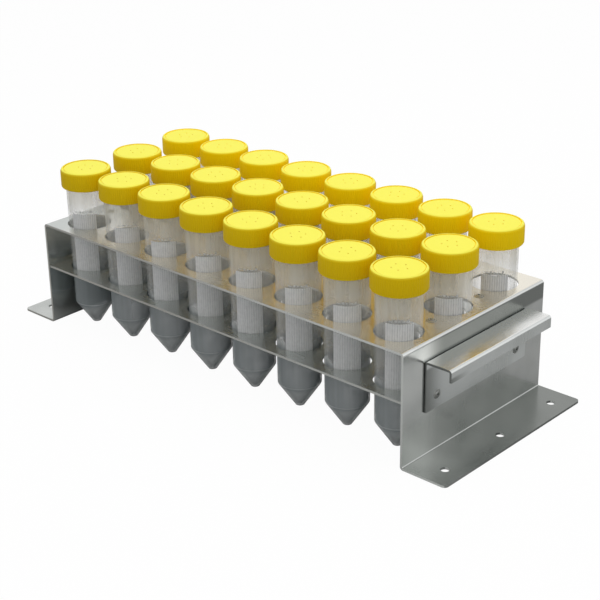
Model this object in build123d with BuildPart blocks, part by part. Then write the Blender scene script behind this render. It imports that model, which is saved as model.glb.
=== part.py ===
from build123d import *
import os

os.makedirs("parts", exist_ok=True)

# A folded steel rack that holds 24 vented culture tubes by their sides while they stand on their tips.
# Millimetres. The floor is z = 0, +X runs along the rack, +Y points to its rear, and the middle of the
# rack's footprint is the origin.

# Folded frame
end_margin = 22.0  # from the axis of a row's last tube to the end wall's outside face
side_margin = 23.0  # from the axis of a column's last tube to the plate's edge
plate_height = 76.0  # floor to the top of the perforated plate
sheet = 1.5
bend_inside = 0.7  # inside radius of every fold
foot_reach = 32.0  # from an end wall's outside face to the foot's free edge
foot_corner = 3.0
foot_hole_radius = 2.75
foot_hole_inset = 20.0  # from an end wall's outside face
foot_hole_margin = 15.5  # from the front and rear edges

# Grid of tubes
columns = 8
rows = 3
column_pitch = 40.0
row_pitch = 48.0
tube_play = 0.75  # gap all round a tube in its holes

# Shelf under the plate, hung on tabs that fold up from its ends
shelf_height = 44.5  # floor to the top of the shelf
shelf_play = 0.3  # gap from the shelf and its tabs to each end wall
shelf_front_inset = 0.5
tab_width = 14.0
tab_leg = 22.0
tab_relief = 2.0

# Handles, one on the outside of each end wall
handle_width = 102.0
handle_drop = 12.0  # from the top of the plate to the top of the handle
handle_reach = 19.5
handle_lip = 8.0

# Blind rivets
rivet_radius = 1.6
rivet_play = 0.05
rivet_head_radius = 3.25
rivet_head_height = 0.9
rivet_bulb_radius = 2.5
rivet_bulb_length = 3.0
plate_rivet_inset = 15.0  # from an end wall's inside face
handle_rivet_gap = 1.0  # from the shelf's underside to the bulbs of the handle's rivets
handle_rivet_rise = 9.0  # from the flange's lower edge
handle_rivet_inset = 10.5  # from the handle's ends

# Tube
tube_height = 117.0  # tip to the top of the closed cap
tube_radius = 14.5
tube_shoulder_height = 17.0
tube_tip_radius = 2.4
tube_wall = 1.2

# Screw cap and the membrane under its vents; its grip is a ring of flats
cap_wall = 2.6  # from the bore's flats to the corners of the grip
cap_height = 13.0
cap_flats = 32
cap_top_wall = 1.4
cap_rim_rise = 0.4
cap_rim_width = 1.7
cap_play = 0.4
membrane_thickness = 0.4
membrane_inset = 0.1

# Sizes that follow from the ones above
rack_length = (columns - 1) * column_pitch + 2 * end_margin
rack_width = (rows - 1) * row_pitch + 2 * side_margin
handle_height = plate_height - handle_drop
foot_hole_pitch = rack_width / 2 - foot_hole_margin
handle_rivet_spread = handle_width - 2 * handle_rivet_inset
wall_outside = rack_length / 2
wall_inside = wall_outside - sheet
wall_middle = wall_outside - sheet / 2
plate_underside = plate_height - sheet
plate_middle = plate_height - sheet / 2
bend_middle = bend_inside + sheet / 2
bend_outside = bend_inside + sheet
foot_end = wall_outside + foot_reach
hole_radius = tube_radius + tube_play
rivet_hole_radius = rivet_radius + rivet_play
rivet_grip = 2 * sheet
plate_rivet_place = wall_inside - plate_rivet_inset
shelf_end = wall_inside - shelf_play
shelf_underside = shelf_height - sheet
handle_rivet_height = shelf_underside - handle_rivet_gap - rivet_bulb_radius
handle_flange = handle_height - handle_rivet_height + handle_rivet_rise
shelf_depth = rack_width - 2 * shelf_front_inset
relief_depth = bend_outside + tab_relief
cap_radius = tube_radius + cap_play + cap_wall
cap_rim_radius = cap_radius - cap_rim_width
cap_bottom = tube_height - cap_height
cap_disc_top = tube_height - cap_rim_rise
cap_ceiling = cap_disc_top - cap_top_wall
mouth_height = cap_ceiling - membrane_thickness
membrane_radius = tube_radius - membrane_inset


# Frame: feet, end walls and perforated plate folded from one sheet, drawn along the middle of its thickness
with BuildPart() as rack_frame:
    with BuildSketch(Plane.XZ):
        with BuildLine():
            FilletPolyline(
                (-foot_end, sheet / 2),
                (-wall_middle, sheet / 2),
                (-wall_middle, plate_middle),
                (wall_middle, plate_middle),
                (wall_middle, sheet / 2),
                (foot_end, sheet / 2),
                radius=bend_middle,
            )
        trace(line_width=sheet)
    extrude(amount=rack_width / 2, both=True)
    foot_edges = rack_frame.edges().filter_by(Axis.Z)
    fillet(foot_edges.group_by(Axis.X)[0] + foot_edges.group_by(Axis.X)[-1], radius=foot_corner)
    with Locations((0, 0, plate_height)):
        with GridLocations(column_pitch, row_pitch, columns, rows):
            Hole(hole_radius, depth=sheet)
        with GridLocations(2 * plate_rivet_place, row_pitch, 2, rows - 1):
            Hole(rivet_hole_radius, depth=sheet)
    with Locations((0, 0, sheet)):
        with GridLocations(2 * (wall_outside + foot_hole_inset), foot_hole_pitch, 2, 3):
            Hole(foot_hole_radius, depth=sheet)
    with BuildSketch(Plane.YZ.offset(-wall_outside)):
        with Locations((0, handle_rivet_height)):
            with GridLocations(handle_rivet_spread, 0, 2, 1):
                Circle(rivet_hole_radius)
    extrude(amount=rack_length, mode=Mode.SUBTRACT)

# Shelf: a perforated sheet with hanger tabs that fold up and then in under the plate, between the rows
with BuildPart() as tube_shelf:
    with BuildSketch(Plane.XY.offset(shelf_underside)):
        Rectangle(2 * shelf_end, shelf_depth)
        with GridLocations(2 * shelf_end - relief_depth, row_pitch, 2, rows - 1):
            Rectangle(relief_depth, tab_width + 2 * tab_relief, mode=Mode.SUBTRACT)
        with GridLocations(column_pitch, row_pitch, columns, rows):
            Circle(hole_radius, mode=Mode.SUBTRACT)
    extrude(amount=sheet)
    for gap in range(rows - 1):
        tab_place = (gap - (rows - 2) / 2) * row_pitch
        with BuildSketch(Plane.XZ.offset(-tab_place)):
            with BuildLine():
                FilletPolyline(
                    (shelf_end - 2 * relief_depth, shelf_underside + sheet / 2),
                    (shelf_end - sheet / 2, shelf_underside + sheet / 2),
                    (shelf_end - sheet / 2, plate_underside - sheet / 2),
                    (shelf_end - tab_leg, plate_underside - sheet / 2),
                    radius=bend_middle,
                )
            trace(line_width=sheet)
        extrude(amount=tab_width / 2, both=True)
    with BuildSketch(Plane.XY.offset(plate_underside)):
        with Locations((plate_rivet_place, 0)):
            with GridLocations(0, row_pitch, 1, rows - 1):
                Circle(rivet_hole_radius)
    extrude(amount=-sheet, mode=Mode.SUBTRACT)
    split(bisect_by=Plane.YZ, keep=Keep.TOP)
    mirror(about=Plane.YZ)

# Handle: a flange on the wall, folded out to a grip and down to a lip
with BuildPart() as handle_right:
    with BuildSketch(Plane.XZ):
        with BuildLine():
            FilletPolyline(
                (wall_outside + sheet / 2, handle_height - handle_flange),
                (wall_outside + sheet / 2, handle_height - sheet / 2),
                (wall_outside + handle_reach - sheet / 2, handle_height - sheet / 2),
                (wall_outside + handle_reach - sheet / 2, handle_height - handle_lip),
                radius=bend_middle,
            )
        trace(line_width=sheet)
    extrude(amount=handle_width / 2, both=True)
    with BuildSketch(Plane.YZ.offset(wall_outside)):
        with Locations((0, handle_rivet_height)):
            with GridLocations(handle_rivet_spread, 0, 2, 1):
                Circle(rivet_hole_radius)
    extrude(amount=sheet, mode=Mode.SUBTRACT)

with BuildPart() as handle_left:
    add(handle_right.part.mirror(Plane.YZ))

# Blind rivet: flat head, shank, and the bulb set behind the two sheets
with BuildPart() as rivet:
    with BuildSketch():
        Circle(rivet_head_radius)
    extrude(amount=rivet_head_height)
    with BuildSketch():
        Circle(rivet_radius)
    extrude(amount=-rivet_grip)
    with BuildSketch(Plane.XY.offset(-rivet_grip)):
        Circle(rivet_bulb_radius)
    extrude(amount=-rivet_bulb_length)

with BuildPart() as plate_rivets:
    with Locations((0, 0, plate_height)):
        with GridLocations(2 * plate_rivet_place, row_pitch, 2, rows - 1):
            add(rivet.part)

with BuildPart() as handle_rivets:
    for side in (-1, 1):
        seat = Plane((side * (wall_outside + sheet), 0, handle_rivet_height), (0, 1, 0), (side, 0, 0))
        with Locations(seat):
            with GridLocations(handle_rivet_spread, 0, 2, 1):
                add(rivet.part)

# Tube: a thin wall with a conical end, shelled from its outside and open at the mouth
with BuildPart() as tube:
    with BuildSketch(Plane.XZ):
        with BuildLine():
            Polyline(
                (0, 0),
                (tube_tip_radius, 0),
                (tube_radius, tube_shoulder_height),
                (tube_radius, mouth_height),
                (0, mouth_height),
                close=True,
            )
        make_face()
    revolve(axis=Axis.Z)
    offset(amount=-tube_wall, openings=tube.faces().sort_by(Axis.Z)[-1])

# Cap: a skirt round the tube's mouth and a top with a raised rim
with BuildPart() as cap:
    with BuildSketch(Plane.XY.offset(cap_bottom)):
        RegularPolygon(cap_radius, cap_flats)
    extrude(amount=cap_height)
    with BuildSketch(Plane.XY.offset(cap_bottom)):
        RegularPolygon(tube_radius + cap_play, cap_flats, major_radius=False)
    extrude(amount=cap_ceiling - cap_bottom, mode=Mode.SUBTRACT)
    with BuildSketch(Plane.XY.offset(tube_height)):
        RegularPolygon(cap_rim_radius, cap_flats)
    extrude(amount=-cap_rim_rise, mode=Mode.SUBTRACT)

with BuildPart() as membrane:
    with BuildSketch(Plane.XY.offset(mouth_height)):
        RegularPolygon(membrane_radius, cap_flats)
    extrude(amount=membrane_thickness)

pieces = {
    "rack_frame": rack_frame.part,
    "tube_shelf": tube_shelf.part,
    "handle_right": handle_right.part,
    "handle_left": handle_left.part,
    "plate_rivets": plate_rivets.part,
    "handle_rivets": handle_rivets.part,
}

# Rows of tubes run from the front, a, to the rear, c, and columns from the left, 1, to the right, 8
for row in range(rows):
    row_name = "abc"[row]
    row_place = (row - (rows - 1) / 2) * row_pitch
    with BuildPart() as tube_row:
        with Locations((0, row_place, 0)):
            with GridLocations(column_pitch, 0, columns, 1):
                add(tube.part)
    pieces[f"tubes_{row_name}"] = tube_row.part
    for column in range(columns):
        column_place = (column - (columns - 1) / 2) * column_pitch
        spot = Location((column_place, row_place, 0))
        pieces[f"cap_{row_name}{column + 1}"] = cap.part.moved(spot)
        pieces[f"membrane_{row_name}{column + 1}"] = membrane.part.moved(spot)

for name, piece in pieces.items():
    piece.label = name
    export_step(piece, f"parts/{name}.step")
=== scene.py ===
import logging
import math
from dataclasses import dataclass
from enum import Enum
from typing import Any, Callable, ClassVar, Iterable, Sequence, Union

import bpy
from mathutils import Matrix, Vector


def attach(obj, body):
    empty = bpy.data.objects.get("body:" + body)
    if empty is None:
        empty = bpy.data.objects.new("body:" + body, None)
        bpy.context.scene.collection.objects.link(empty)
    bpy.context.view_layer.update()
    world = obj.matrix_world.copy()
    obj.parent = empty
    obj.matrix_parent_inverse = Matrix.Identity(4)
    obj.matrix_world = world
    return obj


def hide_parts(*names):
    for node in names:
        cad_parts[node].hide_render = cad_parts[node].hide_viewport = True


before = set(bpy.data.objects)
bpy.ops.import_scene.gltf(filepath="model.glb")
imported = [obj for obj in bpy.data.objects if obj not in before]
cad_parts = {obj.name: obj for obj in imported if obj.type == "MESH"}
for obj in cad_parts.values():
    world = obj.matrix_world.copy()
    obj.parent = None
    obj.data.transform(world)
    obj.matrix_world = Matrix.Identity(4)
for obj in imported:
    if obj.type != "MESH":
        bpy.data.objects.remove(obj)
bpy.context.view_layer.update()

MM = 0.001
ROWS = "abc"
COLUMNS = range(1, 9)
COLUMN_PITCH = 40 * MM
ROW_PITCH = 48 * MM
PLATE_TOP = 76 * MM
SHELF_TOP = 44.5 * MM

log = logging.getLogger("tube_rack")

Colour = tuple[float, float, float]
Point = tuple[float, float, float]
Value = Union[int, float, "Wire"]

# Colours of painted shade and of a painted seam shadow on the steel
HALF_SHADE_STEEL: Colour = (0.26, 0.275, 0.26)
SHADED_STEEL: Colour = (0.10, 0.105, 0.10)
SEAM_SHADOW: Colour = (0.02, 0.02, 0.02)


class Grain(Enum):
    """How fast the grain of a sheet varies along X, Y and Z, per metre."""

    ALONG_SHEET = (12.0, 520.0, 12.0)
    ALL_WAYS = (500.0, 500.0, 500.0)


class End(Enum):
    """The two ends of the rack, as a sign along X."""

    LEFT = -1
    RIGHT = 1


# ---- shader helpers
class Wire:
    """A shader socket that can be used in Python arithmetic.

    Args:
        sheet: the node sheet that the socket belongs to.
        socket: the output socket.
    """

    def __init__(self, sheet: "NodeSheet", socket: bpy.types.NodeSocket) -> None:
        """Keeps the socket and its sheet."""
        self.sheet = sheet
        self.socket = socket

    def _with(self, operation: str, *values: Value) -> "Wire":
        """Adds a Math node.

        Args:
            operation: the Math node's operation.
            values: its inputs, in order.

        Returns:
            The node's output.
        """
        inputs = dict(enumerate(values))
        return self.sheet.add("ShaderNodeMath", {"operation": operation}, inputs)

    def __add__(self, other: Value) -> "Wire":
        """Sum."""
        return self._with("ADD", self, other)

    __radd__ = __add__

    def __sub__(self, other: Value) -> "Wire":
        """Difference."""
        return self._with("SUBTRACT", self, other)

    def __rsub__(self, other: Value) -> "Wire":
        """Difference with this wire on the right."""
        return self._with("SUBTRACT", other, self)

    def __mul__(self, other: Value) -> "Wire":
        """Product."""
        return self._with("MULTIPLY", self, other)

    def __pow__(self, other: Value) -> "Wire":
        """Power."""
        return self._with("POWER", self, other)

    def __abs__(self) -> "Wire":
        """Absolute value."""
        return self._with("ABSOLUTE", self)

    def above(self, limit: Value) -> "Wire":
        """1 where this wire is over the limit, else 0."""
        return self._with("GREATER_THAN", self, limit)

    def below(self, limit: Value) -> "Wire":
        """1 where this wire is under the limit, else 0."""
        return self._with("LESS_THAN", self, limit)

    def larger(self, other: Value) -> "Wire":
        """The larger of two values."""
        return self._with("MAXIMUM", self, other)

    def ramp(self, low: float, high: float, to_low: float = 0.0, to_high: float = 1.0) -> "Wire":
        """Maps a range smoothly to another.

        Args:
            low: where the new range starts.
            high: where it ends.
            to_low: the value at and below low.
            to_high: the value at and above high.

        Returns:
            The mapped value.
        """
        inputs = {"Value": self, "From Min": low, "From Max": high, "To Min": to_low, "To Max": to_high}
        return self.sheet.add("ShaderNodeMapRange", {"interpolation_type": "SMOOTHSTEP"}, inputs)


class NodeSheet:
    """The node tree of a new material, or of the world.

    Args:
        name: the new material's name.
        world: the world, in place of a material.
    """

    def __init__(self, name: str = "", world: bpy.types.World | None = None) -> None:
        """Makes the material, if it is one, and an empty tree with its output.

        Args:
            name: the new material's name.
            world: the world, in place of a material.
        """
        self.owner = world or bpy.data.materials.new(name)
        self.owner.use_nodes = True
        self.tree = self.owner.node_tree
        self.tree.nodes.clear()
        self.output = self.tree.nodes.new("ShaderNodeOutputWorld" if world else "ShaderNodeOutputMaterial")

    def add(self, kind: str, settings: dict[str, Any], inputs: dict[Any, Any], output: Any = 0) -> Wire:
        """Adds one node.

        Args:
            kind: the node's type.
            settings: its properties.
            inputs: values or wires for its sockets, by name or number.
            output: the output to return, by name or number.

        Returns:
            That output.
        """
        node = self.tree.nodes.new(kind)
        for key, value in settings.items():
            setattr(node, key, value)
        for key, value in inputs.items():
            if isinstance(value, Wire):
                self.tree.links.new(value.socket, node.inputs[key])
            else:
                node.inputs[key].default_value = value
        return Wire(self, node.outputs[output])

    def place(self) -> Wire:
        """Where a point is, in the rack's frame."""
        return self.add("ShaderNodeTexCoord", {}, {}, "Object")

    def axis(self, vector: Wire, name: str) -> Wire:
        """One component of a vector, by its letter."""
        return self.add("ShaderNodeSeparateXYZ", {}, {"Vector": vector}, name)

    def normal(self) -> Wire:
        """The direction a surface faces, in the rack's frame."""
        return self.add("ShaderNodeTexCoord", {}, {}, "Normal")

    def noise(self, scale: Point, detail: float = 2.0, at: Wire | None = None) -> Wire:
        """Smooth noise from 0 to 1.

        Args:
            scale: cycles per metre along X, Y and Z.
            detail: how many finer layers it has.
            at: where it is read, or None for the point's place.

        Returns:
            The noise value.
        """
        stretched = self.add("ShaderNodeMapping", {}, {"Vector": at or self.place(), "Scale": scale})
        return self.add("ShaderNodeTexNoise", {}, {"Vector": stretched, "Scale": 1.0, "Detail": detail}, "Fac")

    def mix(self, factor: Value, first: Union[Wire, Colour], second: Union[Wire, Colour]) -> Wire:
        """Blends two colours.

        Args:
            factor: the second colour's share.
            first: the colour at 0.
            second: the colour at 1.

        Returns:
            The blended colour.
        """
        pair = [v if isinstance(v, Wire) else (*v, 1.0) for v in (first, second)]
        inputs = {0: factor, 6: pair[0], 7: pair[1]}
        return self.add("ShaderNodeMix", {"data_type": "RGBA"}, inputs, 2)

    def bump(self, height: Wire, depth: float, strength: float = 1.0) -> Wire:
        """A bumped normal; depth is in metres."""
        return self.add("ShaderNodeBump", {}, {"Height": height, "Distance": depth, "Strength": strength})

    def surface(self, inputs: dict[Any, Any]) -> bpy.types.Material:
        """Closes the sheet with a Principled surface and returns the material."""
        shader = self.add("ShaderNodeBsdfPrincipled", {}, inputs)
        return self.finish(shader)

    def finish(self, shader: Wire) -> bpy.types.Material:
        """Links a shader to the output and returns the material."""
        self.tree.links.new(shader.socket, self.output.inputs["Surface"])
        return self.owner


# ---- finishes
@dataclass(frozen=True)
class SatinSteel:
    """Cold rolled stainless sheet with a fine grain, faint smears and cut edges of their own tone, into which painted
    shade, a painted seam shadow, painted reflections and painted highlights can be mixed.

    Args:
        name: the material's name.
        tone: its reflectance.
        blotch: the reflectance of its duller patches.
        edge_tone_and_shade: the colour of sheared edges that face along Y: their own tone with painted shade.
        edge_highlight: a painted highlight on those edges towards the right end, or None where they get none.
        streak_and_fold_highlight: the colour of the grain's bright streaks and of the painted highlight on the folds.
        roughness: the mean roughness.
        shade_below: painted shade on the sheet under this height, in metres.
        shade_rear: how much painted shade darkens the sheet away from its front edge.
        shade_window: painted shade on faces along X from the first to the second Y and the third to the fourth Z.
        top: the colour of a painted reflection on the faces that look up over the feet, or None for the tone.
        seam_shadow: painted shadow where the sheet lies against this face, in metres from the middle; 0 for none.
        grain: how the grain runs.
    """

    # Stretches along X or Y over which the painted shade and painted light on the sheet change
    LEFT_FOOT: ClassVar[tuple[float, float]] = (-170 * MM, -155 * MM)
    FOOT_DEPTH: ClassVar[tuple[float, float]] = (-60 * MM, 50 * MM)
    FRONT: ClassVar[tuple[float, float]] = (-52 * MM, -34 * MM)
    PLATE_START: ClassVar[tuple[float, float]] = (-150 * MM, -105 * MM)
    EDGE_RUN: ClassVar[tuple[float, float]] = (-100 * MM, 130 * MM)

    name: str
    tone: Colour = (0.72, 0.75, 0.73)
    blotch: Colour = (0.62, 0.65, 0.63)
    edge_tone_and_shade: Colour = (0.62, 0.615, 0.575)
    edge_highlight: Colour | None = (0.92, 0.95, 0.92)
    streak_and_fold_highlight: Colour = (0.93, 0.95, 0.94)
    roughness: float = 0.22
    shade_below: float = 0.0
    shade_rear: float = 0.0
    shade_window: tuple[float, float, float, float] | None = None
    top: Colour | None = None
    seam_shadow: float = 0.0
    grain: Grain = Grain.ALONG_SHEET

    def material(self) -> bpy.types.Material:
        """Builds the material.

        Returns:
            The new material.
        """
        sheet = NodeSheet(self.name)
        place = sheet.place()
        streak = sheet.noise(self.grain.value, 2.0, place)
        patch = sheet.noise((22.0, 22.0, 22.0), 3.0, place)
        speck = sheet.noise((420.0, 420.0, 420.0), 1.0, place)
        worn = patch.ramp(0.42, 0.72)
        colour = sheet.mix(worn, self.tone, self.blotch)
        colour = sheet.mix(streak.ramp(0.35, 0.75) * 0.10, colour, self.streak_and_fold_highlight)
        facing = sheet.normal()
        # Painted shade on the feet, with less of it at the outer part of the left foot, where the light comes from,
        # and towards the front.
        if self.shade_below:
            low = sheet.axis(place, "Z").below(self.shade_below)
            lit = sheet.axis(place, "X").ramp(*self.LEFT_FOOT, 0.4, 0.79)
            lit = lit * sheet.axis(place, "Y").ramp(*self.FOOT_DEPTH, 0.9, 1.12)
            colour = sheet.mix(low * lit, colour, HALF_SHADE_STEEL)
        # Painted shade on the sheet behind its front edge.
        if self.shade_rear:
            rear = sheet.axis(place, "Y").ramp(*self.FRONT, 0.0, self.shade_rear)
            colour = sheet.mix(rear, colour, SHADED_STEEL)
        along = sheet.axis(facing, "X")
        # Painted reflection: faces that look up, over the shelf's height, take the top colour from the plate's left
        # part on, with less of it in worn patches.
        if self.top:
            upward = sheet.axis(facing, "Z").above(0.9) * sheet.axis(place, "Z").above(SHELF_TOP)
            lit = sheet.mix(sheet.axis(place, "X").ramp(*self.PLATE_START), self.blotch, self.top)
            colour = sheet.mix(upward * (1 - worn * 0.2), colour, lit)
        # Painted shade on faces along X inside the window.
        if self.shade_window:
            near, far, low, high = self.shade_window
            inside = abs(along).above(0.9)
            for axis, start, end, soft in (("Y", near, far, 12 * MM), ("Z", low, high, 1 * MM)):
                reach = sheet.axis(place, axis)
                inside = inside * reach.ramp(start - soft, start + soft) * reach.ramp(end - soft, end + soft, 1.0, 0.0)
            colour = sheet.mix(inside * 0.95, colour, HALF_SHADE_STEEL)
        # Painted highlight on the folds.
        fold = abs(along * sheet.axis(facing, "Z")).ramp(0.12, 0.45)
        colour = sheet.mix(fold * 0.5, colour, self.streak_and_fold_highlight)
        # Sheared edges: their own tone with painted shade, going over to a painted highlight towards the right end.
        edge = abs(sheet.axis(facing, "Y")).above(0.8)
        cut = self.edge_tone_and_shade
        if self.edge_highlight:
            cut = sheet.mix(sheet.axis(place, "X").ramp(*self.EDGE_RUN), cut, self.edge_highlight)
        colour = sheet.mix(edge, colour, cut)
        # Painted shadow in the seam where the sheet lies against that face.
        if self.seam_shadow:
            close = abs(sheet.axis(place, "X")).ramp(self.seam_shadow + 0.3 * MM, self.seam_shadow + 0.9 * MM, 0.96, 0.0)
            colour = sheet.mix(close, colour, SEAM_SHADOW)
        rough = self.roughness + (streak - 0.5) * 0.08 + worn * 0.07
        lumps = streak * 0.7 + speck * 0.3
        return sheet.surface({
            "Base Color": colour,
            "Metallic": 1.0,
            "Roughness": rough,
            "Normal": sheet.bump(lumps, 0.00001, 0.05),
        })


@dataclass(frozen=True)
class ClearPlastic:
    """Clear tube plastic: hazier low down, where tubes stand before each other, and at its grazing edges, with painted
    shade under the shelf and painted yellow light under the caps.

    Args:
        name: the material's name.
        tint: colour of the haze above the plate.
        warm_tint: colour of the haze under the caps, painted with the yellow light of the caps.
        shelf_shade_tint: colour of the haze under the shelf, darkened as painted shade.
        cone_shade_tint: colour of the haze in the cone, painted shade lighter than under the shelf.
        haze: how opaque one wall is from the shelf to just above the plate.
        high_haze: how opaque it is under the caps.
        deep_haze: how opaque one wall is under the shelf.
    """

    name: str = "clear_tube_plastic"
    tint: Colour = (0.95, 0.96, 0.94)
    warm_tint: Colour = (0.97, 0.94, 0.80)
    shelf_shade_tint: Colour = (0.36, 0.40, 0.41)
    cone_shade_tint: Colour = (0.62, 0.66, 0.665)
    haze: float = 0.14
    high_haze: float = 0.27
    deep_haze: float = 0.50

    def material(self) -> bpy.types.Material:
        """Builds the material.

        Returns:
            The new material.
        """
        sheet = NodeSheet(self.name)
        place = sheet.place()
        height = sheet.axis(place, "Z")
        low = height.ramp(SHELF_TOP - 3 * MM, SHELF_TOP + 8 * MM, 1.0, 0.0)
        rim = sheet.add("ShaderNodeLayerWeight", {}, {"Blend": 0.35}, "Facing")
        swirl = sheet.noise((60.0, 60.0, 18.0), 2.0, place)
        streaks = sheet.noise((240.0, 240.0, 7.0), 1.0, place).ramp(0.3, 0.7) - 0.5
        haze = height.ramp(PLATE_TOP, PLATE_TOP + 18 * MM, self.haze, self.high_haze)
        haze = haze + low * (self.deep_haze - self.haze) + streaks * 0.1
        haze = haze + rim ** 2.5 * (1 - low) * 0.4 + rim * low * 0.4
        # Painted yellow light from the caps in the haze under them; painted shade under the shelf, lighter in the
        # cone.
        warm = sheet.mix(height.ramp(PLATE_TOP + 8 * MM, PLATE_TOP + 26 * MM), self.tint, self.warm_tint)
        deep = sheet.mix(height.ramp(12 * MM, 18 * MM), self.cone_shade_tint, self.shelf_shade_tint)
        return sheet.surface({
            "Base Color": sheet.mix(low, warm, deep),
            "Roughness": 0.1 + swirl * 0.08,
            "IOR": 1.5,
            "Specular IOR Level": 0.35,
            "Alpha": haze,
            "Normal": sheet.bump(swirl, 0.0001, 0.25),
        })


@dataclass(frozen=True)
class ShoulderHighlight:
    """A painted highlight: the thin pale line that the shoulder over the cone shows on the near side of a tube.

    Args:
        name: the material's name.
        colour: its colour.
        dim: its duller stretches.
        strength: how opaque it is on the near side.
    """

    name: str = "shoulder_highlight"
    colour: Colour = (0.56, 0.60, 0.61)
    dim: Colour = (0.36, 0.39, 0.40)
    strength: float = 0.8

    def material(self) -> bpy.types.Material:
        """Builds the material.

        Returns:
            The new material.
        """
        sheet = NodeSheet(self.name)
        cloud = sheet.noise((90.0, 90.0, 90.0), 2.0)
        behind = sheet.add("ShaderNodeNewGeometry", {}, {}, "Backfacing")
        return sheet.surface({
            "Base Color": sheet.mix(cloud, self.colour, self.dim),
            "Roughness": 0.25 + cloud * 0.1,
            "Alpha": (1 - behind) * self.strength,
        })


@dataclass(frozen=True)
class MouldedYellow:
    """Yellow moulded polyethylene with a fine eggshell grain, with painted light: tops lighter than the skirt, and a
    glow on the skirts of the rear rows.

    Args:
        name: the material's name.
        colour: the yellow of faces that look up, lighter as painted light from above.
        shade: the deeper yellow of the skirt, as painted shade.
        glow: painted light that the skirts of the rear rows emit.
        roughness: the mean roughness.
    """

    name: str = "moulded_yellow"
    colour: Colour = (0.94, 0.89, 0.10)
    shade: Colour = (0.88, 0.61, 0.001)
    glow: Colour = (1.0, 0.72, 0.0)
    roughness: float = 0.42

    def material(self) -> bpy.types.Material:
        """Builds the material.

        Returns:
            The new material.
        """
        sheet = NodeSheet(self.name)
        place = sheet.place()
        cloud = sheet.noise((120.0, 120.0, 120.0), 2.0, place)
        grain = sheet.noise((2600.0, 2600.0, 2600.0), 2.0, place)
        # Painted light: faces that look up are lighter than the skirt, and the skirts of the rear rows glow.
        upward = sheet.axis(sheet.normal(), "Z").ramp(0.15, 0.95)
        deep = sheet.axis(place, "Y").ramp(-0.060, 0.060)
        return sheet.surface({
            "Base Color": sheet.mix(upward * (0.94 + cloud * 0.06), self.shade, self.colour),
            "Roughness": self.roughness + (grain - 0.5) * 0.2,
            "IOR": 1.5,
            "Specular IOR Level": 0.12,
            "Emission Strength": 0.13,
            "Emission Color": sheet.mix(deep * (1 - upward), (0.0, 0.0, 0.0), self.glow),
            "Normal": sheet.bump(grain, 0.00003, 0.6),
        })


@dataclass(frozen=True)
class WhitePrint:
    """Matt white print of the writing panel and the tick marks; a darker one also gives the painted shade in the
    panel's grooves.

    Args:
        name: the material's name.
        colour: the ink.
        thin: the ink where it is thin.
    """

    name: str = "white_print"
    colour: Colour = (0.79, 0.80, 0.80)
    thin: Colour = (0.73, 0.74, 0.74)

    def material(self) -> bpy.types.Material:
        """Builds the material.

        Returns:
            The new material.
        """
        sheet = NodeSheet(self.name)
        place = sheet.place()
        ink = sheet.noise((400.0, 400.0, 400.0), 2.0, place)
        return sheet.surface({
            "Base Color": sheet.mix(ink.ramp(0.35, 0.7), self.colour, self.thin),
            "Roughness": 0.55 + (ink - 0.5) * 0.2,
            "Normal": sheet.bump(ink, 0.00002, 0.2),
        })


@dataclass(frozen=True)
class FilterFilm:
    """White felted film of the membranes.

    Args:
        name: the material's name.
        colour: its colour.
        fibre: the colour between its fibres.
    """

    name: str = "filter_film"
    colour: Colour = (0.78, 0.78, 0.76)
    fibre: Colour = (0.6, 0.6, 0.58)

    def material(self) -> bpy.types.Material:
        """Builds the material.

        Returns:
            The new material.
        """
        sheet = NodeSheet(self.name)
        felt = sheet.noise((1800.0, 1800.0, 1800.0), 4.0)
        return sheet.surface({
            "Base Color": sheet.mix(felt, self.colour, self.fibre),
            "Roughness": 0.8 + (felt - 0.5) * 0.2,
            "Normal": sheet.bump(felt, 0.00008, 0.6),
        })


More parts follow.
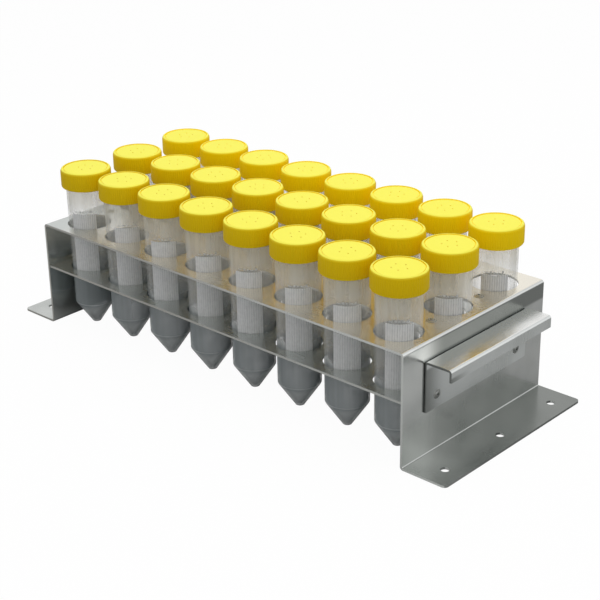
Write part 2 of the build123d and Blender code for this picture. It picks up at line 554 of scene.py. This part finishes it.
# ---- modelling helpers
class Bench:
    """Modelling steps that several pieces share."""

    @staticmethod
    def clear() -> None:
        """Leaves edit mode and deselects everything."""
        if bpy.context.object and bpy.context.object.mode != "OBJECT":
            bpy.ops.object.mode_set(mode="OBJECT")
        bpy.ops.object.select_all(action="DESELECT")

    @staticmethod
    def pick(piece: bpy.types.Object) -> None:
        """Makes a piece the one active and selected object.

        Args:
            piece: the piece.
        """
        Bench.clear()
        piece.select_set(True)
        bpy.context.view_layer.objects.active = piece

    @staticmethod
    def turned(name: str, sides: int, rings: Sequence[tuple[float, float]]) -> bpy.types.Object:
        """Makes a closed round body by extruding a disc from ring to ring.

        Args:
            name: the piece's name.
            sides: vertices round a ring.
            rings: radius and height of each ring, in metres, from the first disc to the last.

        Returns:
            The piece, centred on the Z axis.
        """
        Bench.clear()
        radius, height = rings[0]
        bpy.ops.mesh.primitive_circle_add(
            vertices=sides, radius=radius, fill_type="NGON", location=(0, 0, height)
        )
        piece = bpy.context.object
        piece.name = name
        bpy.ops.object.transform_apply(location=True, rotation=True, scale=True)
        bpy.ops.object.mode_set(mode="EDIT")
        bpy.ops.mesh.select_mode(type="FACE")
        bpy.ops.mesh.select_all(action="SELECT")
        for next_radius, next_height in rings[1:]:
            rise = (0, 0, next_height - height)
            bpy.ops.mesh.extrude_region_move(TRANSFORM_OT_translate={"value": rise})
            scale = next_radius / radius
            bpy.ops.transform.resize(value=(scale, scale, 1), center_override=(0, 0, next_height))
            radius, height = next_radius, next_height
        bpy.ops.mesh.select_all(action="SELECT")
        bpy.ops.mesh.normals_make_consistent(inside=False)
        bpy.ops.object.mode_set(mode="OBJECT")
        return piece

    @staticmethod
    def select(piece: bpy.types.Object, wanted: Callable[[Vector], bool]) -> None:
        """Selects a piece's vertices by their place and enters edit mode.

        Args:
            piece: the piece.
            wanted: says whether a vertex at that place is selected.
        """
        Bench.pick(piece)
        bpy.ops.object.mode_set(mode="EDIT")
        bpy.ops.mesh.select_mode(type="VERT")
        bpy.ops.mesh.select_all(action="DESELECT")
        bpy.ops.object.mode_set(mode="OBJECT")
        for vertex in piece.data.vertices:
            vertex.select = wanted(vertex.co)
        bpy.ops.object.mode_set(mode="EDIT")

    @staticmethod
    def tint(piece: bpy.types.Object, material: bpy.types.Material, wanted: Callable[[Vector], bool]) -> None:
        """Gives some faces of a piece a second material.

        Args:
            piece: the piece.
            material: the second material.
            wanted: says whether a face whose centre is at that place gets it.
        """
        piece.data.materials.append(material)
        Bench.pick(piece)
        bpy.ops.object.mode_set(mode="EDIT")
        bpy.ops.mesh.select_mode(type="FACE")
        bpy.ops.mesh.select_all(action="DESELECT")
        bpy.ops.object.mode_set(mode="OBJECT")
        for face in piece.data.polygons:
            face.select = wanted(face.center)
        bpy.ops.object.mode_set(mode="EDIT")
        piece.active_material_index = len(piece.data.materials) - 1
        bpy.ops.object.material_slot_assign()
        bpy.ops.object.mode_set(mode="OBJECT")

    @staticmethod
    def smooth(piece: bpy.types.Object, degrees: float = 35.0) -> None:
        """Shades a piece smooth, with edges sharper than an angle kept.

        Args:
            piece: the piece.
            degrees: that angle.
        """
        Bench.pick(piece)
        bpy.ops.object.shade_smooth_by_angle(angle=math.radians(degrees))

    @staticmethod
    def join(pieces: Sequence[bpy.types.Object]) -> bpy.types.Object:
        """Joins pieces into the first of them.

        Args:
            pieces: the pieces.

        Returns:
            The first, with the others in it.
        """
        Bench.clear()
        for piece in pieces:
            piece.select_set(True)
        bpy.context.view_layer.objects.active = pieces[0]
        bpy.ops.object.join()
        return pieces[0]

    @staticmethod
    def copy(pattern: bpy.types.Object, name: str, move: Matrix) -> bpy.types.Object:
        """Copies a finished piece with a mesh of its own.

        Args:
            pattern: the piece that is copied.
            name: the copy's name.
            move: where the copy goes.

        Returns:
            The copy, with its place in its mesh.
        """
        Bench.pick(pattern)
        bpy.ops.object.duplicate(linked=False)
        piece = bpy.context.object
        piece.name = name
        piece.data.name = name
        piece.data.transform(move)
        piece.data.update()
        return piece

    @staticmethod
    def discard(piece: bpy.types.Object) -> None:
        """Deletes a pattern that has been copied."""
        Bench.pick(piece)
        bpy.ops.object.delete()

    @staticmethod
    def arc(name: str, profile: tuple[float, float, float, float], start: float, sweep: float,
            steps: int) -> bpy.types.Object:
        """Sweeps an upright rectangle round the Z axis.

        Args:
            name: the piece's name.
            profile: inner radius, outer radius, bottom and top, in metres.
            start: where the sweep starts, in radians.
            sweep: how far it goes, in radians.
            steps: how many steps it takes.

        Returns:
            The curved strip as a closed body.
        """
        inner, outer, bottom, top = profile
        Bench.clear()
        bpy.ops.mesh.primitive_plane_add(size=1, location=(0, 0, 0))
        piece = bpy.context.object
        piece.name = name
        bpy.ops.object.mode_set(mode="EDIT")
        bpy.ops.mesh.select_all(action="SELECT")
        bpy.ops.transform.resize(value=(outer - inner, top - bottom, 1), center_override=(0, 0, 0))
        bpy.ops.object.mode_set(mode="OBJECT")
        middle = Matrix.Translation(((inner + outer) / 2, 0, (bottom + top) / 2))
        piece.data.transform(Matrix.Rotation(start, 4, "Z") @ middle @ Matrix.Rotation(math.pi / 2, 4, "X"))
        bpy.ops.object.mode_set(mode="EDIT")
        bpy.ops.mesh.select_mode(type="FACE")
        bpy.ops.mesh.select_all(action="SELECT")
        bpy.ops.mesh.spin(steps=steps, angle=sweep, center=(0, 0, 0), axis=(0, 0, -1))
        bpy.ops.mesh.select_all(action="SELECT")
        bpy.ops.mesh.remove_doubles(threshold=1e-6)
        bpy.ops.mesh.normals_make_consistent(inside=False)
        bpy.ops.object.mode_set(mode="OBJECT")
        return piece


def dress(piece: bpy.types.Object, material: bpy.types.Material) -> None:
    """Gives a piece one material in place of any others.

    Args:
        piece: the piece.
        material: its only material.
    """
    piece.data.materials.clear()
    piece.data.materials.append(material)


def spots() -> Iterable[tuple[str, float, float]]:
    """Goes through the tubes' places from the front row to the rear one.

    Yields:
        The place's name, and the X and Y of its axis.
    """
    for line, row in enumerate(ROWS):
        for column in COLUMNS:
            x = (column - (len(COLUMNS) + 1) / 2) * COLUMN_PITCH
            yield f"{row}{column}", x, (line - 1) * ROW_PITCH


# ---- the rack
@dataclass
class SheetMetal:
    """The folded frame, the shelf and the two handles, which keep their CAD shapes.

    Args:
        foot: height that the feet stay under.
        handle_top: height of the handles' tops.
        handle_end: end of the handles, from the middle along Y.
        strip: width of the strip at the handles' front ends: painted shade falls on the handles inside it, and on the
            end walls above the handles behind it.
        strip_drop: how far that strip stays under the handles' tops.
        wall: outside face of an end wall, from the middle.
    """

    foot: float = 1.9 * MM
    handle_top: float = 64 * MM
    handle_end: float = 51 * MM
    strip: float = 8 * MM
    strip_drop: float = 5 * MM
    wall: float = 162 * MM

    def build(self) -> None:
        """Dresses the sheet metal."""
        strip_end = self.strip - self.handle_end
        # The frame: a painted reflection on faces that look up, painted shade on the feet, behind the front edge and
        # on the end walls above the handles' tops, and painted highlights on folds and edges.
        frame_steel = SatinSteel(
            "frame_steel", tone=(0.82, 0.84, 0.82), top=(0.97, 0.92, 0.81), shade_below=self.foot, shade_rear=0.25,
            shade_window=(strip_end, 1.0, self.handle_top, 1.0),
        ).material()
        # The shelf: a painted highlight on its edges towards the right end.
        shelf_steel = SatinSteel(
            "shelf_steel", tone=(0.68, 0.70, 0.68), edge_highlight=(0.74, 0.76, 0.73),
        ).material()
        # The handles: a painted highlight on their tops, dark edges as painted shadow lines, painted shade in the
        # front strip and a painted shadow in the seam against the wall.
        handle_steel = SatinSteel(
            "handle_steel", tone=(0.76, 0.79, 0.78), top=(0.99, 0.99, 0.97),
            edge_tone_and_shade=(0.26, 0.27, 0.26), edge_highlight=None,
            shade_window=(-1.0, strip_end, 0.0, self.handle_top - self.strip_drop), seam_shadow=self.wall,
        ).material()
        steels = {"rack_frame": frame_steel, "tube_shelf": shelf_steel}
        steels.update({f"handle_{end.name.lower()}": handle_steel for end in End})
        for name, steel in steels.items():
            dress(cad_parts[name], steel)
            log.info("%s dressed", name)


@dataclass
class Rivets:
    """Domed blind rivets in the plate and the handles.

    Args:
        head: radius of the head.
        dome: height of the head.
        recess: radius of the hole that the pin left.
        shank: radius of the shank.
        grip: thickness of the two sheets.
        bulb: radius of the set bulb.
        tail: length of the bulb.
        plate_x: distance of the plate's rivets from the middle along X.
        plate_y: their distance along Y.
        handle_y: distance of the handles' rivets from the middle along Y.
        handle_z: their height.
        flange: outside face of a handle's flange, from the middle.
        sides: vertices round a rivet.
    """

    # Radius and height of the head's rings, as shares of its own
    DOME: ClassVar[tuple[tuple[float, float], ...]] = (
        (0.42, 0.97), (0.54, 0.86), (0.62, 0.6), (0.66, 0.42), (0.84, 0.36), (0.95, 0.24),
    )

    head: float = 3.25 * MM
    dome: float = 0.9 * MM
    recess: float = 0.9 * MM
    shank: float = 1.6 * MM
    grip: float = 3.0 * MM
    bulb: float = 2.5 * MM
    tail: float = 3.0 * MM
    plate_x: float = 145.5 * MM
    plate_y: float = 24 * MM
    handle_y: float = 40.5 * MM
    handle_z: float = 39.5 * MM
    flange: float = 163.5 * MM
    sides: int = 32

    def pattern(self) -> bpy.types.Object:
        """Models one rivet, its head up and its seat at the origin.

        Returns:
            The rivet.
        """
        rings = [(self.recess * 0.8, -0.6 * MM), (self.recess, self.dome * 0.5), (self.recess, self.dome)]
        for share, height in self.DOME:
            rings.append((self.head * share, self.dome * height))
        rings += [(self.head, 0.0), (self.shank, 0.0), (self.shank, -self.grip)]
        rings += [(self.bulb * 0.96, -self.grip), (self.bulb, -self.grip - self.tail * 0.35)]
        rings += [(self.bulb * 0.8, -self.grip - self.tail * 0.75), (self.recess, -self.grip - self.tail)]
        piece = Bench.turned("rivet", self.sides, rings)
        Bench.smooth(piece, 40)
        return piece

    def build(self) -> None:
        """Copies the rivet to its places and dresses each group."""
        # Painted reflection on the tops of the domes.
        steel = SatinSteel(
            "rivet_steel", tone=(0.38, 0.39, 0.37), blotch=(0.28, 0.29, 0.28), top=(0.90, 0.88, 0.80),
            edge_tone_and_shade=(0.34, 0.35, 0.34), streak_and_fold_highlight=(0.38, 0.39, 0.38), roughness=0.30, grain=Grain.ALL_WAYS,
        ).material()
        pattern = self.pattern()
        plate = [
            Matrix.Translation((x * self.plate_x, y * self.plate_y, PLATE_TOP))
            for x in (-1, 1) for y in (-1, 1)
        ]
        handle = [
            Matrix.Translation((end.value * self.flange, y * self.handle_y, self.handle_z))
            @ Matrix.Rotation(end.value * math.pi / 2, 4, "Y")
            for end in End for y in (-1, 1)
        ]
        for group, places in (("plate_rivets", plate), ("handle_rivets", handle)):
            pieces = [Bench.copy(pattern, f"{group}_{i}", m) for i, m in enumerate(places)]
            piece = Bench.join(pieces)
            piece.name = f"domed_{group}"
            dress(piece, steel)
            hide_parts(group)
            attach(piece, "rack")
            log.info("%s: %d rivets", piece.name, len(places))
        Bench.discard(pattern)


@dataclass
class Tubes:
    """Thin conical tubes with a threaded neck, a ribbed writing panel and tick marks.

    Args:
        sides: vertices round a tube.
        top: height of the mouth.
        neck: height where the neck starts.
        shoulder: height where the cone ends.
        wall: thickness of the wall.
        neck_radius: radius of the neck.
        body_radius: radius under the neck.
        shoulder_radius: radius over the cone.
        tip_radius: radius of the flat tip.
        panel_low: bottom of the writing panel.
        panel_high: top of the writing panel.
        panel_half: half the angle that the panel spans, in degrees.
        panel_ribs: ribs on the panel.
        band: height of the shoulder's band, which carries a painted highlight.
        thread_start: height where the thread starts.
        thread_rise: how far it climbs.
        thread_sweep: how far it goes round, in degrees.
        thread_steps: steps in one turn of it.
    """

    # Start and width in degrees, bottom and top in millimetres, of the marks over the panel
    TICKS: ClassVar[tuple[tuple[float, float, float, float], ...]] = (
        (-26, 9, 87.9, 88.3), (-12, 5, 87.9, 89.0), (-3, 4, 87.9, 88.7), (6, 7, 87.9, 88.3), (18, 5, 87.9, 89.2),
    )
    # How far some panels are turned away from the camera, in degrees
    TURNS: ClassVar[dict[str, float]] = {"a1": -16.0, "a3": -10.0, "a5": -10.0, "a8": 2.0}

    sides: int = 64
    top: float = 114.8 * MM
    neck: float = 103.5 * MM
    shoulder: float = 17 * MM
    wall: float = 1.2 * MM
    neck_radius: float = 14.5 * MM
    body_radius: float = 14.45 * MM
    shoulder_radius: float = 14.1 * MM
    tip_radius: float = 2.4 * MM
    panel_low: float = 42 * MM
    panel_high: float = 86.5 * MM
    panel_half: float = 35.0
    panel_ribs: int = 12
    band: float = 0.7 * MM
    thread_start: float = 106 * MM
    thread_rise: float = 6 * MM
    thread_sweep: float = 540.0
    thread_steps: int = 60

    def wall_pattern(self) -> bpy.types.Object:
        """Models one tube with its thread.

        Returns:
            The tube.
        """
        inside = self.wall
        rings = [
            (self.tip_radius, 0.0),
            (self.tip_radius + 0.5 * MM, 0.25 * MM),
            (self.shoulder_radius - 0.25 * MM, self.shoulder - 0.5 * MM),
            (self.shoulder_radius, self.shoulder),
            (self.shoulder_radius + 0.03 * MM, self.shoulder + 0.3 * MM),
            (self.shoulder_radius + 0.02 * MM, self.shoulder + self.band),
            (self.body_radius, self.neck),
            (self.neck_radius, self.neck + 0.6 * MM),
            (self.neck_radius, self.top - 0.3 * MM),
            (self.neck_radius - 0.3 * MM, self.top),
            (self.neck_radius - inside + 0.3 * MM, self.top),
            (self.neck_radius - inside, self.top - 0.3 * MM),
            (self.shoulder_radius - inside, self.shoulder + 0.5 * MM),
            (self.tip_radius - 0.2 * MM, 1.6 * MM),
            (self.tip_radius - 1.0 * MM, 1.3 * MM),
        ]
        piece = Bench.join([Bench.turned("tube", self.sides, rings), self.thread()])
        Bench.smooth(piece, 30)
        return piece

    def thread(self) -> bpy.types.Object:
        """Models the thread ridge as a strip that climbs round the neck.

        Returns:
            The ridge as a closed body.
        """
        Bench.clear()
        bpy.ops.mesh.primitive_plane_add(size=1, location=(0, 0, 0))
        piece = bpy.context.object
        piece.name = "thread"
        bpy.ops.object.mode_set(mode="EDIT")
        bpy.ops.mesh.select_all(action="SELECT")
        bpy.ops.transform.resize(value=(0.5 * MM, 1.0 * MM, 1), center_override=(0, 0, 0))
        bpy.ops.mesh.delete(type="ONLY_FACE")
        bpy.ops.object.mode_set(mode="OBJECT")
        middle = Matrix.Translation((self.neck_radius + 0.15 * MM, 0, self.thread_start))
        piece.data.transform(middle @ Matrix.Rotation(math.pi / 2, 4, "X"))
        climb = piece.modifiers.new("climb", "SCREW")
        climb.angle = math.radians(self.thread_sweep)
        climb.screw_offset = self.thread_rise
        climb.steps = climb.render_steps = self.thread_steps
        climb.use_merge_vertices = False
        Bench.pick(piece)
        bpy.ops.object.modifier_apply(modifier="climb")
        bpy.ops.object.mode_set(mode="EDIT")
        bpy.ops.mesh.select_mode(type="EDGE")
        bpy.ops.mesh.select_all(action="DESELECT")
        bpy.ops.mesh.select_non_manifold()
        bpy.ops.mesh.edge_face_add()
        bpy.ops.mesh.select_all(action="SELECT")
        bpy.ops.mesh.normals_make_consistent(inside=False)
        bpy.ops.object.mode_set(mode="OBJECT")
        return piece

    def panel_pattern(self, ink: bpy.types.Material, shade: bpy.types.Material) -> bpy.types.Object:
        """Models one ribbed panel with its tick marks, facing +X.

        Args:
            ink: the print.
            shade: painted shade in the grooves, and the print of the tick marks.

        Returns:
            The panel with its marks.
        """
        radius = self.body_radius
        sweep = math.radians(2 * self.panel_half)
        steps = self.panel_ribs * 4
        profile = (radius - 0.35 * MM, radius + 0.08 * MM, self.panel_low, self.panel_high)
        panel = Bench.arc("panel", profile, -sweep / 2, sweep, steps)
        step = sweep / steps

        def along(at: Vector) -> float:
            """How many steps a point lies from the panel's start."""
            return (math.atan2(at.y, at.x) + sweep / 2) / step

        def on_rib(at: Vector) -> bool:
            """Whether a vertex is on the crest of a rib."""
            count = round(along(at))
            return math.hypot(at.x, at.y) > radius and count % 4 in (1, 2, 3)

        Bench.select(panel, on_rib)
        swell = 1 + 0.22 * MM / radius
        bpy.ops.transform.resize(value=(swell, swell, 1), center_override=(0, 0, 0))
        bpy.ops.object.mode_set(mode="OBJECT")
        dress(panel, ink)
        # Painted shade in the grooves between the ribs.
        Bench.tint(panel, shade, lambda at: round(along(at) - 0.5) % 4 == 0)
        marks = [panel]
        for index, (angle, width, low, high) in enumerate(self.TICKS):
            profile = (radius - 0.2 * MM, radius + 0.06 * MM, low * MM, high * MM)
            mark = Bench.arc(f"mark_{index}", profile, math.radians(angle), math.radians(width), 4)
            dress(mark, shade)
            marks.append(mark)
        return Bench.join(marks)

    def build(self) -> None:
        """Copies tube and panel to the places, with each panel turned towards the camera."""
        clear = ClearPlastic().material()
        ink = WhitePrint().material()
        # Painted shade for the panel's grooves, and the print of the tick marks.
        shade = WhitePrint("groove_shade_and_tick_print", (0.62, 0.63, 0.63), (0.56, 0.57, 0.57)).material()
        tube = self.wall_pattern()
        panel = self.panel_pattern(ink, shade)
        dress(tube, clear)
        # Painted highlight on the near side of the shoulder band.
        low, high = self.shoulder, self.shoulder + self.band
        outside = self.shoulder_radius - 0.3 * MM
        Bench.tint(tube, ShoulderHighlight().material(), lambda at: low < at.z < high and math.hypot(at.x, at.y) > outside)
        eye = Studio.EYE
        for name, x, y in spots():
            spot = Matrix.Translation((x, y, 0))
            wall = Bench.copy(tube, f"tube_{name}", spot)
            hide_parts(f"tubes_{name[0]}")
            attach(wall, "rack")
            facing = math.atan2(eye[1] - y, eye[0] - x) + math.radians(self.TURNS.get(name, 0.0))
            print_on = Bench.copy(panel, f"panel_{name}", spot @ Matrix.Rotation(facing, 4, "Z"))
            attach(print_on, "rack")
            log.info("tube_%s and panel_%s", name, name)
        Bench.discard(tube)
        Bench.discard(panel)


@dataclass
class Caps:
    """Ribbed screw caps with a raised rim and five vents.

    Args:
        ribs: ribs round the skirt.
        radius: radius over the ribs.
        groove: depth of the valleys between the ribs.
        bottom: height of the skirt's lower edge.
        top: height of the rim.
        ceiling: height of the inside.
        disc: height of the sunk top.
        bore: radius of the inside.
        core: radius of the flat disc in the middle of the top.
        vents: how many vents there are.
        vent_circle: radius that the vents stand on.
        vent: radius of a vent.
        vent_sides: vertices round a vent.
        vent_depth: length of the drill that cuts it.
    """

    ribs: int = 72
    radius: float = 17.5 * MM
    groove: float = 0.28 * MM
    bottom: float = 104 * MM
    top: float = 117 * MM
    ceiling: float = 115.2 * MM
    disc: float = 116.6 * MM
    bore: float = 15.5 * MM
    core: float = 9 * MM
    vents: int = 5
    vent_circle: float = 5.0 * MM
    vent: float = 0.5 * MM
    vent_sides: int = 14
    vent_depth: float = 6 * MM

    def pattern(self) -> bpy.types.Object:
        """Models one cap on the Z axis.

        Returns:
            The cap.
        """
        rings = [
            (self.core, self.ceiling),
            (self.bore, self.ceiling),
            (self.bore, self.bottom + 0.4 * MM),
            (self.bore + 0.3 * MM, self.bottom),
            (self.radius - 0.5 * MM, self.bottom),
            (self.radius - 0.25 * MM, self.bottom + 0.25 * MM),
            (self.radius, self.bottom + 0.8 * MM),
            (self.radius, self.top - 2.0 * MM),
            (self.radius - 0.2 * MM, self.top - 1.3 * MM),
            (self.radius - 0.55 * MM, self.top - 0.55 * MM),
            (self.radius - 1.2 * MM, self.top - 0.08 * MM),
            (self.radius - 1.5 * MM, self.top),
            (self.radius - 1.9 * MM, self.top - 0.05 * MM),
            (self.radius - 2.1 * MM, self.disc - 0.45 * MM),
            (self.radius - 2.45 * MM, self.disc - 0.45 * MM),
            (self.radius - 2.6 * MM, self.disc),
            (self.core, self.disc + 0.05 * MM),
        ]
        piece = Bench.turned("cap", self.ribs * 3, rings)
        step = math.tau / (self.ribs * 3)
        low, high = self.bottom + 0.7 * MM, self.top - 1.9 * MM

        def in_valley(at: Vector) -> bool:
            """Whether a vertex is in a valley of the skirt."""
            on_skirt = low < at.z < high and math.hypot(at.x, at.y) > self.radius - 0.1 * MM
            return on_skirt and round(math.atan2(at.y, at.x) / step) % 3 == 0

        Bench.select(piece, in_valley)
        shrink = 1 - self.groove / self.radius
        bpy.ops.transform.resize(value=(shrink, shrink, 1), center_override=(0, 0, 0))
        bpy.ops.object.mode_set(mode="OBJECT")
        drills = []
        for index in range(self.vents):
            angle = math.tau * index / self.vents
            Bench.clear()
            bpy.ops.mesh.primitive_cylinder_add(
                vertices=self.vent_sides, radius=self.vent, depth=self.vent_depth,
                location=(self.vent_circle * math.cos(angle), self.vent_circle * math.sin(angle), self.disc),
            )
            drills.append(bpy.context.object)
        drill = Bench.join(drills)
        cut = piece.modifiers.new("vents", "BOOLEAN")
        cut.operation = "DIFFERENCE"
        cut.solver = "EXACT"
        cut.object = drill
        Bench.pick(piece)
        bpy.ops.object.modifier_apply(modifier="vents")
        Bench.discard(drill)
        Bench.smooth(piece, 28)
        return piece

    def build(self) -> None:
        """Copies the cap to each tube, turned a little differently each time."""
        yellow = MouldedYellow().material()
        film = FilterFilm().material()
        pattern = self.pattern()
        dress(pattern, yellow)
        for index, (name, x, y) in enumerate(spots()):
            turn = Matrix.Rotation(math.radians(index * 53 % (360 // self.vents)), 4, "Z")
            piece = Bench.copy(pattern, f"vented_cap_{name}", Matrix.Translation((x, y, 0)) @ turn)
            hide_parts(f"cap_{name}")
            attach(piece, f"cap_{name}")
            dress(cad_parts[f"membrane_{name}"], film)
            log.info("vented_cap_%s and membrane_%s", name, name)
        Bench.discard(pattern)


@dataclass
class Studio:
    """Pale floor, soft light and camera.

    Args:
        yaw: how far the camera stands round from the front towards +X, in degrees.
        elevation: its angle above the horizon, in degrees.
        roll: its roll, in degrees.
        lens: focal length for a 36 mm wide picture.
        air: how strongly the surroundings light matt surfaces.
        floor_size: side of the floor.
        floor_drop: how far the floor lies under the feet.
    """

    # Where the camera stands, in metres; the writing panels face it too
    EYE: ClassVar[Point] = (0.6276, -0.6600, 0.4405)

    yaw: float = 42.78
    elevation: float = 23.77
    roll: float = -0.93
    lens: float = 87.86
    air: float = 0.52
    floor_size: float = 8.0
    floor_drop: float = 0.2 * MM

    def camera(self) -> None:
        """Places the camera."""
        yaw, tip, roll = (math.radians(v) for v in (self.yaw, self.elevation, self.roll))
        back = Vector((math.sin(yaw) * math.cos(tip), -math.cos(yaw) * math.cos(tip), math.sin(tip)))
        right = Vector((math.cos(yaw), math.sin(yaw), 0))
        above = back.cross(right)
        across = right * math.cos(roll) + above * math.sin(roll)
        upward = above * math.cos(roll) - right * math.sin(roll)
        data = bpy.data.cameras.new("camera")
        data.lens = self.lens
        data.sensor_width = 36
        data.clip_start, data.clip_end = 0.01, 30
        camera = bpy.data.objects.new("camera", data)
        bpy.context.scene.collection.objects.link(camera)
        turn = Matrix((across, upward, back)).transposed().to_4x4()
        camera.matrix_world = Matrix.Translation(self.EYE) @ turn
        bpy.context.scene.camera = camera

    def lamp(self, name: str, at: Point, aim: Point, size: tuple[float, float], power: float) -> None:
        """Adds a soft rectangular lamp that neither the camera nor a reflection sees.

        Args:
            name: the lamp's name.
            at: where it hangs.
            aim: the point it faces.
            size: width and height.
            power: its power in watts.
        """
        data = bpy.data.lights.new(name, "AREA")
        data.shape = "RECTANGLE"
        data.size, data.size_y = size
        data.energy = power
        lamp = bpy.data.objects.new(name, data)
        bpy.context.scene.collection.objects.link(lamp)
        lamp.location = at
        lamp.rotation_mode = "QUATERNION"
        lamp.rotation_quaternion = (Vector(aim) - Vector(at)).to_track_quat("-Z", "Y")
        lamp.visible_camera = False
        lamp.visible_glossy = False

    def floor(self) -> None:
        """Lays the pale floor, which the camera sees nearly white with a weak shadow."""
        Bench.clear()
        bpy.ops.mesh.primitive_plane_add(size=self.floor_size, location=(0, 0, -self.floor_drop))
        floor = bpy.context.object
        floor.name = "floor"
        bpy.ops.object.transform_apply(location=True, rotation=True, scale=True)
        sheet = NodeSheet("pale_floor")
        cloud = sheet.noise((3.0, 3.0, 3.0), 2.0)
        paint = sheet.mix(cloud, (0.44, 0.44, 0.44), (0.42, 0.42, 0.42))
        matt = sheet.add("ShaderNodeBsdfDiffuse", {}, {"Color": paint})
        glow = sheet.add("ShaderNodeEmission", {}, {"Color": (1, 1, 1, 1), "Strength": 1.04})
        seen = sheet.add("ShaderNodeLightPath", {}, {}, "Is Camera Ray")
        mixed = sheet.add("ShaderNodeMixShader", {}, {0: seen * 0.93, 1: matt, 2: glow})
        dress(floor, sheet.finish(mixed))

    def sky(self) -> None:
        """Sets the world: white where it is seen, and weaker and darker overhead in reflections."""
        world = bpy.data.worlds.new("studio_air")
        bpy.context.scene.world = world
        sheet = NodeSheet(world=world)
        kinds = ("Camera", "Glossy", "Transmission")
        straight, glossy, through = (sheet.add("ShaderNodeLightPath", {}, {}, f"Is {kind} Ray") for kind in kinds)
        overhead = sheet.axis(sheet.add("ShaderNodeTexCoord", {}, {}, "Generated"), "Z")
        level = straight.larger(through) * (1.02 - self.air) + self.air
        level = level.larger(glossy * overhead.ramp(0.45, 0.95, 0.88, 0.45))
        sheet.finish(sheet.add("ShaderNodeBackground", {}, {"Color": (1.0, 1.0, 1.0, 1.0), "Strength": level}))

    def build(self) -> None:
        """Sets up the studio."""
        scene = bpy.context.scene
        scene.view_settings.view_transform = "Standard"
        scene.cycles.transparent_max_bounces = 40
        self.camera()
        self.floor()
        self.sky()
        self.lamp("overhead", (0.05, 0.05, 1.15), (0, 0, 0.1), (1.3, 1.0), 8.0)
        log.info("studio ready")


def main() -> None:
    """Builds the rack's sub-assemblies in order."""
    logging.basicConfig(level=logging.INFO, format="%(name)s: %(message)s")
    Studio().build()
    SheetMetal().build()
    Rivets().build()
    Tubes().build()
    Caps().build()


if __name__ == "__main__":
    main()
